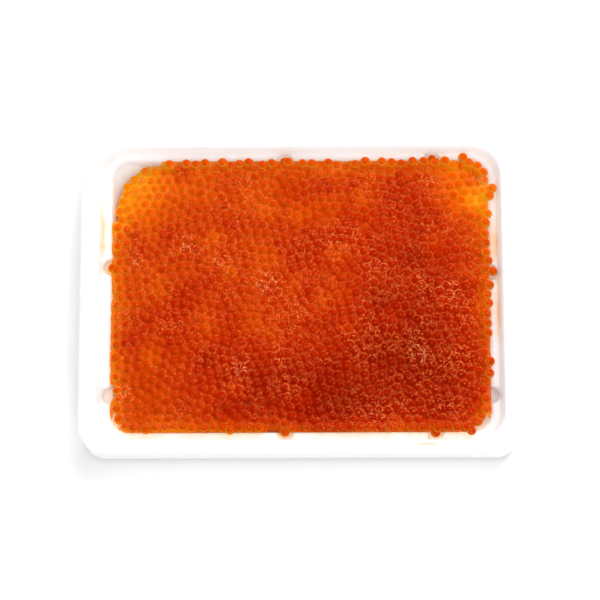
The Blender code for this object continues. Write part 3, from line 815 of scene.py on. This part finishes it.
def highlight_strokes(tree, direction, place):
    """Share of painted highlight: thin level lines of a noise, arcs on the far side of eggs, and dots.

    A line is where the noise comes near its middle value, within patches of a coarser noise. An arc is
    where the egg's direction, bent by the coarser noise, makes a set angle with an axis, between those
    patches. Dots are the middles of Voronoi cells.
    """
    swirl = add_node(tree, "ShaderNodeTexNoise", {
        "Vector": place, "Scale": 1 / STROKE_PITCH, "Detail": 1.0, "Distortion": 0.6,
    })
    patch = add_node(tree, "ShaderNodeTexNoise", {"Vector": place, "Scale": 1 / STROKE_PATCH, "Detail": 1.0})
    line = near_level(tree, swirl, 0.5, STROKE_HALF_WIDTH)
    patched = add_node(tree, "ShaderNodeMapRange", {
        "Value": patch, "From Min": LINE_PATCHES[0], "From Max": LINE_PATCHES[1],
    }, interpolation_type="SMOOTHSTEP")
    lines = add_node(tree, "ShaderNodeMath", {0: line, 1: patched}, operation="MULTIPLY")
    bend = add_node(tree, "ShaderNodeVectorMath", {
        0: patch.outputs["Color"], 1: (ARC_BEND,) * 3, 2: (-ARC_BEND / 2,) * 3,
    }, operation="MULTIPLY_ADD")
    bent = add_node(tree, "ShaderNodeVectorMath", {0: direction, 1: bend}, operation="ADD")
    leaning = add_node(tree, "ShaderNodeVectorMath", {0: bent, 1: ARC_AXIS}, operation="DOT_PRODUCT")
    arc = near_level(tree, leaning, ARC_COSINE, ARC_HALF_WIDTH)
    far = add_node(tree, "ShaderNodeVectorMath", {0: bent, 1: FAR_SIDE}, operation="DOT_PRODUCT")
    on_far_side = add_node(tree, "ShaderNodeMapRange", {
        "Value": far, "From Min": FAR_RANGE[0], "From Max": FAR_RANGE[1],
    }, interpolation_type="SMOOTHSTEP")
    between = add_node(tree, "ShaderNodeMapRange", {
        "Value": patch, "From Min": ARC_PATCHES[0], "From Max": ARC_PATCHES[1],
    }, interpolation_type="SMOOTHSTEP")
    whole_arcs = add_node(tree, "ShaderNodeMath", {0: arc, 1: on_far_side}, operation="MULTIPLY")
    arcs = add_node(tree, "ShaderNodeMath", {0: whole_arcs, 1: between}, operation="MULTIPLY")
    drops = add_node(tree, "ShaderNodeTexVoronoi", {"Vector": place, "Scale": 1 / DOT_PITCH})
    dot = add_node(tree, "ShaderNodeMapRange", {
        "Value": drops, "From Min": DOT_RANGE[0], "From Max": DOT_RANGE[1],
    }, interpolation_type="SMOOTHSTEP")
    either = add_node(tree, "ShaderNodeMath", {0: lines, 1: arcs}, operation="MAXIMUM")
    return add_node(tree, "ShaderNodeMath", {0: either, 1: dot}, operation="MAXIMUM")


def with_painted_highlights(tree, colour, direction, place):
    """A colour with painted highlight strokes over it: pale orange, whiter where they gather in a cluster.
    """
    strength = add_node(tree, "ShaderNodeAttribute", attribute_name="highlight_strength").outputs["Fac"]
    drawn = add_node(tree, "ShaderNodeMath", {
        0: highlight_strokes(tree, direction, place), 1: strength,
    }, operation="MULTIPLY")
    whiter = add_node(tree, "ShaderNodeMapRange", {
        "Value": strength, "From Min": CLUSTER_RANGE[0], "From Max": CLUSTER_RANGE[1],
    })
    pale = add_node(tree, "ShaderNodeMix", {
        "Factor": whiter, "A": to_linear(HIGHLIGHT_STROKE_COLOUR), "B": to_linear(GLINT_CLUSTER_COLOUR),
    }, data_type="RGBA")
    return add_node(tree, "ShaderNodeMix", {"Factor": drawn, "A": colour, "B": pale}, data_type="RGBA")


def flattened(tree, share):
    """The surface's direction turned a share of the way up, as light that leaves an egg has lost its own."""
    straight = add_node(tree, "ShaderNodeNewGeometry").outputs["Normal"]
    turned = add_node(tree, "ShaderNodeMix", {"Factor": share, "A": straight, "B": (0, 0, 1)},
                      data_type="VECTOR")
    return add_node(tree, "ShaderNodeVectorMath", {0: turned}, operation="NORMALIZE")


# Painted light: a bright ring on each egg's near left, for light focused through a translucent egg.
CRESCENT_SIDE = (-0.35, -0.60, 0.0)
CRESCENT_GAIN = 0.9
CRESCENT_LEVEL = 0.45
PAINTED_RING_COLOUR = "FFB62C"
CAP_EDGE = (0.72, 0.42)
CAP_WAVE = -0.35
YOLK_GRAIN = 0.0011
# Painted shade: an outline darkens the low side of eggs, away from their painted ring, where the heap is
# thin.
OUTLINE_SHADE_COLOUR = "A85A08"
OUTLINE_EDGE = (0.45, 0.05)
OUTLINE_MOST = 0.6
OUTLINE_GLOW = (0.3, 0.8)
FLATTENED = 0.6
EGG_LETS_THROUGH = (0.98, 0.84, 0.55, 1)
egg_finish, tree, shader = new_material("cured salmon egg")
tint = add_node(tree, "ShaderNodeAttribute", attribute_name="egg_colour")
glow = add_node(tree, "ShaderNodeAttribute", attribute_name="egg_glow").outputs["Fac"]
coordinates = add_node(tree, "ShaderNodeTexCoord")
place = coordinates.outputs["Object"]
normal = coordinates.outputs["Normal"]
grain = add_node(tree, "ShaderNodeTexNoise", {"Vector": place, "Scale": 1 / YOLK_GRAIN, "Detail": 2.0})
facing = add_node(tree, "ShaderNodeVectorMath", {0: normal, 1: CRESCENT_SIDE}, operation="DOT_PRODUCT")
upward = add_node(tree, "ShaderNodeSeparateXYZ", {0: normal}).outputs["Z"]
wavy = add_node(tree, "ShaderNodeMath", {0: grain, 1: CAP_WAVE, 2: upward}, operation="MULTIPLY_ADD")
off_cap = add_node(tree, "ShaderNodeMapRange", {
    "Value": wavy, "From Min": CAP_EDGE[0], "From Max": CAP_EDGE[1],
}, interpolation_type="SMOOTHSTEP")
side = add_node(tree, "ShaderNodeMath", {
    0: facing, 1: CRESCENT_GAIN, 2: CRESCENT_LEVEL,
}, operation="MULTIPLY_ADD", use_clamp=True)
ring = add_node(tree, "ShaderNodeMath", {0: off_cap, 1: side}, operation="MULTIPLY")
bright = add_node(tree, "ShaderNodeMath", {0: ring, 1: glow}, operation="MULTIPLY")
# Painted ring light, brightest where the heap is thin.
lit = add_node(tree, "ShaderNodeMix", {
    "Factor": bright, "A": tint, "B": to_linear(PAINTED_RING_COLOUR),
}, data_type="RGBA")
# Painted shade on the egg's low side, away from the painted ring, where the heap is thin.
low = add_node(tree, "ShaderNodeMapRange", {
    "Value": upward, "From Min": OUTLINE_EDGE[0], "From Max": OUTLINE_EDGE[1],
    "To Max": OUTLINE_MOST,
}, interpolation_type="SMOOTHSTEP")
open_side = add_node(tree, "ShaderNodeMapRange", {
    "Value": glow, "From Min": OUTLINE_GLOW[0], "From Max": OUTLINE_GLOW[1],
})
away = add_node(tree, "ShaderNodeMath", {0: low, 1: side}, operation="SUBTRACT", use_clamp=True)
outline_shade = add_node(tree, "ShaderNodeMath", {0: away, 1: open_side}, operation="MULTIPLY")
shade = add_node(tree, "ShaderNodeMix", {
    "Factor": outline_shade, "A": lit, "B": to_linear(OUTLINE_SHADE_COLOUR),
}, data_type="RGBA")
fill_inputs(tree, shader, {
    "Base Color": with_painted_highlights(tree, shade, normal, place),
    "Normal": flattened(tree, FLATTENED), "Roughness": 0.18, "IOR": 1.38,
    "Specular IOR Level": 0.25, "Specular Tint": (1.0, 0.42, 0.05, 1),
    "Subsurface Weight": 1.0, "Subsurface Radius": (1.0, 0.45, 0.12), "Subsurface Scale": 0.0014,
})
# Light that goes through an egg comes out orange, so what lies in its shadow is lit warm.
through = add_node(tree, "ShaderNodeBsdfTransparent", {"Color": EGG_LETS_THROUGH})
towards_lamp = add_node(tree, "ShaderNodeLightPath").outputs["Is Shadow Ray"]
both = add_node(tree, "ShaderNodeMixShader", {0: towards_lamp, 1: shader, 2: through})
fill_inputs(tree, tree.nodes["Material Output"], {"Surface": both})

top_eggs = egg_cluster("roe_top_eggs", top_centres, top_radii, EGG_SEED + 2)
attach(top_eggs, "root")
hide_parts("roe")


# Eggs beneath: some sit in the wide hollows between the top eggs, the second layer shows in the narrow ones,
# and more layers lie down the heap's side where it stands clear of the pit's wall, at corners and dents.
LAYER_DROP = 0.0043
LAYER_TURNS = (37.0, 61.0, 5.0, 29.0, 71.0, 47.0, 17.0)
LAYER_STEPS = 45
SHOWN_FROM_SIDE = 0.0016
SIDE_BAND = 0.0085


def wall_distance(x, y, z):
    """Signed distance from the pit's leaning wall, below zero inside the pit."""
    lean = PIT_DRAFT * (LEDGE_HEIGHT - PIT_ROUND - z) / PIT_WALL
    return pit_distance(x, y) + np.clip(lean, 0, PIT_DRAFT)


def lay_under(held, held_radii):
    """Centres and radii of the eggs beneath, settled like the top ones while those are held still."""
    draw = np.random.default_rng(EGG_SEED + 5)
    centres, radii, levels = [], [], []
    for layer, turn in enumerate(LAYER_TURNS, 1):
        x, y = net_points(draw, turn)
        radius = egg_radii(draw, x.size)
        z = heap_level(x, y) - radius - layer * LAYER_DROP + draw.normal(0, LIFT_JITTER, x.size)
        inside = (heap_distance(x, y) < 0) & (wall_distance(x, y, z) < -radius) & (z > FLOOR_HEIGHT + radius)
        if layer > 1:
            clear = wall_distance(x, y, z) - heap_distance(x, y) < -EGG_DIAMETER / 2 - SHOWN_FROM_SIDE
            inside &= clear & (heap_distance(x, y) > -SIDE_BAND)
        centres.append(np.stack([x, y, z], 1)[inside])
        radii.append(radius[inside])
        levels.append(z[inside])
    free, free_radii, level = np.concatenate(centres), np.concatenate(radii), np.concatenate(levels)
    count = len(free)
    everything = np.concatenate([free, held])
    radius = np.concatenate([free_radii, held_radii])
    pairs = near_pairs(everything, PAIR_REACH)
    for _ in range(LAYER_STEPS):
        everything[:count] += PUSH_SHARE * pushes(everything, radius, pairs)[:count]
        moved = everything[:count].copy()
        back_inside(moved, heap_distance)
        back_inside(moved, lambda x, y: wall_distance(x, y, moved[:, 2]) + free_radii)
        moved[:, 2] += PULL_SHARE / 2 * (level - moved[:, 2])
        moved[:, 2] = np.maximum(moved[:, 2], FLOOR_HEIGHT + free_radii)
        moved[:, 2] = np.maximum(moved[:, 2], lowest_in_corner(moved[:, 0], moved[:, 1], free_radii))
        everything[:count] = moved
    return everything[:count], free_radii


FILL_PITCH = 0.0014
FILL_LEAST = 0.55
FILL_SMALLEST = 0.86
FILL_INSIDE = 0.0004


def fill_hollows(centres, radii):
    """Centres and radii of the eggs level with the top ones, wherever a hollow between those has room.

    Room is the distance from a place to the nearest egg's skin. The roomiest place is taken again and again.
    """
    x, y = (part.ravel() for part in np.meshgrid(np.arange(HEAP_LEFT, HEAP_RIGHT, FILL_PITCH),
                                                 np.arange(HEAP_FRONT, HEAP_BACK, FILL_PITCH)))
    inside = heap_distance(x, y) < -FILL_INSIDE
    x, y = x[inside], y[inside]
    usual = EGG_DIAMETER / 2
    z = np.maximum(heap_level(x, y) - usual, lowest_centre(x, y, usual))
    z = np.maximum(z, lowest_in_corner(x, y, usual))
    spots = np.stack([x, y, z], 1)
    room = np.full(len(spots), 1.0)
    for centre, radius in zip(centres, radii):
        room = np.minimum(room, np.sqrt(((spots - centre) ** 2).sum(1)) - radius)
    chosen, size = [], []
    while room.max() > FILL_LEAST * usual:
        roomiest = room.argmax()
        chosen.append(spots[roomiest])
        size.append(float(np.clip(room[roomiest], FILL_SMALLEST * usual, usual)))
        room = np.minimum(room, np.sqrt(((spots - spots[roomiest]) ** 2).sum(1)) - size[-1])
    return np.array(chosen), np.array(size)


fill_centres, fill_radii = fill_hollows(top_centres, top_radii)
under_centres, under_radii = lay_under(top_centres, top_radii)
under_centres = np.concatenate([under_centres, fill_centres])
under_radii = np.concatenate([under_radii, fill_radii])
under_eggs = egg_cluster("roe_eggs_beneath", under_centres, under_radii, EGG_SEED + 3)
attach(under_eggs, "root")
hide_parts("roe")


# Heart of the heap: the thousands of eggs that never show, as one closed body of rings under the second
# layer, a little clear of the pit. Packed eggs look dull: orange in their middles, with painted shade, dark
# red, between them.
HEART_TOP = 0.0285
HEART_MIDDLE = 0.020
HEART_GAP = 0.0008
HEART_CORNER = 0.030
HEART_BEVEL = 0.001
HEART_EGG_COLOUR = "D84A00"
HEART_HOLLOW_SHADE_COLOUR = "7A0C00"
heart_finish, tree, shader = new_material("packed salmon roe")
place = add_node(tree, "ShaderNodeTexCoord").outputs["Object"]
packed = add_node(tree, "ShaderNodeTexVoronoi", {"Vector": place, "Scale": 1 / EGG_DIAMETER})
# Painted shade: dark red in the hollows between the packed eggs.
shade = add_node(tree, "ShaderNodeMix", {
    "Factor": packed, "A": to_linear(HEART_EGG_COLOUR), "B": to_linear(HEART_HOLLOW_SHADE_COLOUR),
}, data_type="RGBA")
fill_inputs(tree, shader, {
    "Base Color": shade, "Roughness": 0.4, "Specular IOR Level": 0.1,
})

heart = (PIT[0], PIT[1], HEART_CORNER)
base = level_ring(heart, -PIT_DRAFT - PIT_FILLET, FLOOR_HEIGHT + HEART_GAP)
heart_levels = towards(base * (0, 0, 1), base, (0.05, 0.5, 1.0))
for height in (FLOOR_HEIGHT + PIT_FILLET, HEART_MIDDLE, HEART_TOP - HEART_BEVEL):
    heart_levels.append(level_ring(heart, -pit_at(height)[1] - HEART_GAP, height))
heart_levels.append(level_ring(heart, -pit_at(HEART_TOP)[1] - HEART_GAP - HEART_BEVEL, HEART_TOP))
heart_levels += towards(heart_levels[-1], heart_levels[-1] * (0, 0, 1), (0.3, 0.7, 0.95))
heart_body = ring_body("roe_heart", heart_levels, heart_finish)
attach(heart_body, "root")
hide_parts("roe")


# Brine: the clear salty syrup that the roe was cured in. It lies over the eggs as a thin film, stands deeper
# in the hollows between them, and runs out to the pit's wall, under the ledge, wherever eggs stand near it.
BRINE_PITCH = 0.0006
BRINE_WINDOW = 9
BRINE_SHARPNESS = 3500.0
BRINE_OVER_CROWN = 0.00005
BRINE_REACH = 0.0054
BRINE_DEEPEST = 0.0015
BRINE_LOWER_WHERE_THIN = 0.00035
BRINE_LOWER_AT_EDGE = 0.0005
BRINE_BEYOND = 0.0036
BRINE_AMONG_EGGS = 0.0012
BRINE_TO_WALL = 0.0042
BRINE_OVER_ROUND = 0.0004
BRINE_FADE = 0.0010
BRINE_SHORE_START = 0.0012
BRINE_SHORE = 0.0026
BRINE_UNDER_LEDGE = 0.0006
LEAST_WEIGHT = 1e-9
LEAST_UPRIGHT_SQUARE = 0.04

# Brine: it takes on the tone of the eggs under it, painted glow and all, with more painted glow where the
# heap is thin and on its shore; it hides them where it is deep, carries the same painted highlight strokes,
# and has the gloss of a wet film with a slow ripple.
BRINE_CLEAR_DEPTH = 0.00006
BRINE_FULL_DEPTH = 0.00024
BRINE_MOST = 0.94
BRINE_STREAK = 0.0013
BRINE_RIPPLE = 0.0003
BRINE_DEEPER = 0.03
BRINE_PAINTED_GLOW = 0.13
SHORE_PAINTED_GLOW = 0.22
brine_finish, tree, shader = new_material("brine tinted like the roe, with painted glow")
tint = add_node(tree, "ShaderNodeAttribute", attribute_name="egg_colour")
towards_egg = add_node(tree, "ShaderNodeAttribute", attribute_name="egg_direction").outputs["Vector"]
depth = add_node(tree, "ShaderNodeAttribute", attribute_name="brine_depth").outputs["Fac"]
place = add_node(tree, "ShaderNodeTexCoord").outputs["Object"]
swirl = add_node(tree, "ShaderNodeTexNoise", {
    "Vector": place, "Scale": 1 / BRINE_STREAK, "Detail": 1.0, "Distortion": 0.8,
})
filled = add_node(tree, "ShaderNodeMapRange", {
    "Value": depth, "From Min": BRINE_CLEAR_DEPTH, "From Max": BRINE_FULL_DEPTH,
    "To Max": BRINE_MOST,
}, interpolation_type="SMOOTHSTEP")
ripple = add_node(tree, "ShaderNodeBump", {
    "Height": swirl, "Strength": 0.5, "Distance": BRINE_RIPPLE,
    "Normal": flattened(tree, FLATTENED),
})
fill_inputs(tree, shader, {
    "Base Color": with_painted_highlights(tree, tint, towards_egg, place),
    "Alpha": filled, "Normal": ripple,
    "Roughness": 0.14, "IOR": 1.36, "Specular IOR Level": 0.6, "Specular Tint": (1.0, 0.45, 0.06, 1),
})


def brine_sheet():
    """The brine's surface over a square net: the smooth upper hull of a bowl-shaped cap on every egg.

    Each cap is the egg's crown less the square of the distance over its diameter, and the hull is the
    logarithm of the sum of the caps' exponentials. It is a little lower where the heap is thin or near its
    edge, and past the edge it falls in an S-curve, the shore, to a level under the ledge. Returned are its
    points and faces, and for each point the depth, the direction from the nearest egg, and the shore.
    """
    centres = np.concatenate([heap_centres, fill_centres])
    radii = np.concatenate([heap_radii, fill_radii])[:, None]
    start_x, start_y = HEAP_LEFT - BRINE_BEYOND, HEAP_FRONT - BRINE_BEYOND
    count_x = int((HEAP_RIGHT + BRINE_BEYOND - start_x) / BRINE_PITCH) + 1
    count_y = int((HEAP_BACK + BRINE_BEYOND - start_y) / BRINE_PITCH) + 1
    window = np.arange(-BRINE_WINDOW, BRINE_WINDOW + 1)
    step_x, step_y = (part.ravel() for part in np.meshgrid(window, window, indexing="ij"))
    column = np.round((centres[:, 0] - start_x) / BRINE_PITCH).astype(int)[:, None] + step_x
    row = np.round((centres[:, 1] - start_y) / BRINE_PITCH).astype(int)[:, None] + step_y
    spot = column * count_y + row
    off_x = start_x + column * BRINE_PITCH - centres[:, :1]
    off_y = start_y + row * BRINE_PITCH - centres[:, 1:2]
    square = off_x ** 2 + off_y ** 2
    cap = centres[:, 2:] + radii - square / (2 * radii)
    weight = np.exp(BRINE_SHARPNESS * (cap - LEDGE_HEIGHT))
    on_net = (column >= 0) & (column < count_x) & (row >= 0) & (row < count_y)
    good = on_net & (square < BRINE_REACH ** 2)
    total = np.bincount(spot[good], weight[good], count_x * count_y)
    height = LEDGE_HEIGHT + np.log(np.maximum(total, LEAST_WEIGHT)) / BRINE_SHARPNESS + BRINE_OVER_CROWN

    grid_x, grid_y = np.meshgrid(start_x + BRINE_PITCH * np.arange(count_x),
                                 start_y + BRINE_PITCH * np.arange(count_y), indexing="ij")
    from_edge = heap_distance(grid_x, grid_y)
    from_wall = pit_distance(grid_x, grid_y)
    warm, edge = heap_tone_and_glow(grid_x.ravel(), grid_y.ravel())
    height = height - BRINE_LOWER_WHERE_THIN * np.clip(warm, 0, 1) - BRINE_LOWER_AT_EDGE * edge
    shore = np.clip((from_edge + BRINE_SHORE_START) / BRINE_SHORE, 0, 1).ravel()
    shore = shore ** 2 * (3 - 2 * shore)
    height = height + shore * (np.minimum(height, LEDGE_HEIGHT - BRINE_UNDER_LEDGE) - height)
    points = np.column_stack([grid_x.ravel(), grid_y.ravel(), height])

    crown = centres[:, 2:] + np.sqrt(np.clip(radii ** 2 - square, 0, None))
    covered = good & (square < radii ** 2)
    skin = np.full(count_x * count_y, -1.0)
    np.maximum.at(skin, spot[covered], crown[covered])
    kept = np.maximum(BRINE_AMONG_EGGS - from_edge, BRINE_TO_WALL - from_edge + from_wall) / BRINE_FADE
    depth = np.clip(height - skin, 0, BRINE_DEEPEST) * np.clip(kept, 0, 1).ravel() ** 2

    rising = np.argsort(weight[good])
    nearest = np.zeros(count_x * count_y, int)
    nearest[spot[good][rising]] = rising
    level = np.column_stack([off_x[good][nearest], off_y[good][nearest]]) / (EGG_DIAMETER / 2)
    upright = np.sqrt(np.clip(1 - (level ** 2).sum(1), LEAST_UPRIGHT_SQUARE, 1))
    direction = np.column_stack([level, upright])

    held = (kept > 0) & (from_wall < BRINE_OVER_ROUND) & (total.reshape(grid_x.shape) > LEAST_WEIGHT)
    corner = np.nonzero((held[:-1, :-1] & held[1:, :-1] & held[:-1, 1:] & held[1:, 1:]).ravel())[0]
    corner = corner // (count_y - 1) * count_y + corner % (count_y - 1)
    faces = np.stack([corner, corner + count_y, corner + count_y + 1, corner + 1], 1)
    used, renumbered = np.unique(faces, return_inverse=True)
    return points[used], renumbered.reshape(-1, 4), depth[used], direction[used], shore[used]


brine_points, brine_faces, brine_depth, brine_direction, brine_shore = brine_sheet()
brine = put_in_scene("roe_brine", brine_points, brine_faces.tolist(), brine_finish)
# Real brine is clear, so it throws no shadow on the eggs under it and dims no light that they pass on.
brine.visible_shadow = False
brine.visible_diffuse = False
brine_tone = heap_tone_and_glow(brine_points[:, 0], brine_points[:, 1])[0]
# Painted glow: the brine is made warmer where the heap is thin and on its shore.
brine_tone = (brine_tone - BRINE_DEEPER + BRINE_PAINTED_GLOW * np.clip(brine_tone, 0, 1)
              + SHORE_PAINTED_GLOW * brine_shore)
brine_strokes = highlight_strength(brine_points[:, 0], brine_points[:, 1]) * (1 - brine_shore)
give_points(brine, "egg_colour", "FLOAT_COLOR", "color", tone_colour(brine_tone))
give_points(brine, "brine_depth", "FLOAT", "value", brine_depth)
give_points(brine, "highlight_strength", "FLOAT", "value", brine_strokes)
give_points(brine, "egg_direction", "FLOAT_VECTOR", "vector", brine_direction)
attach(brine, "root")
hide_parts("roe")
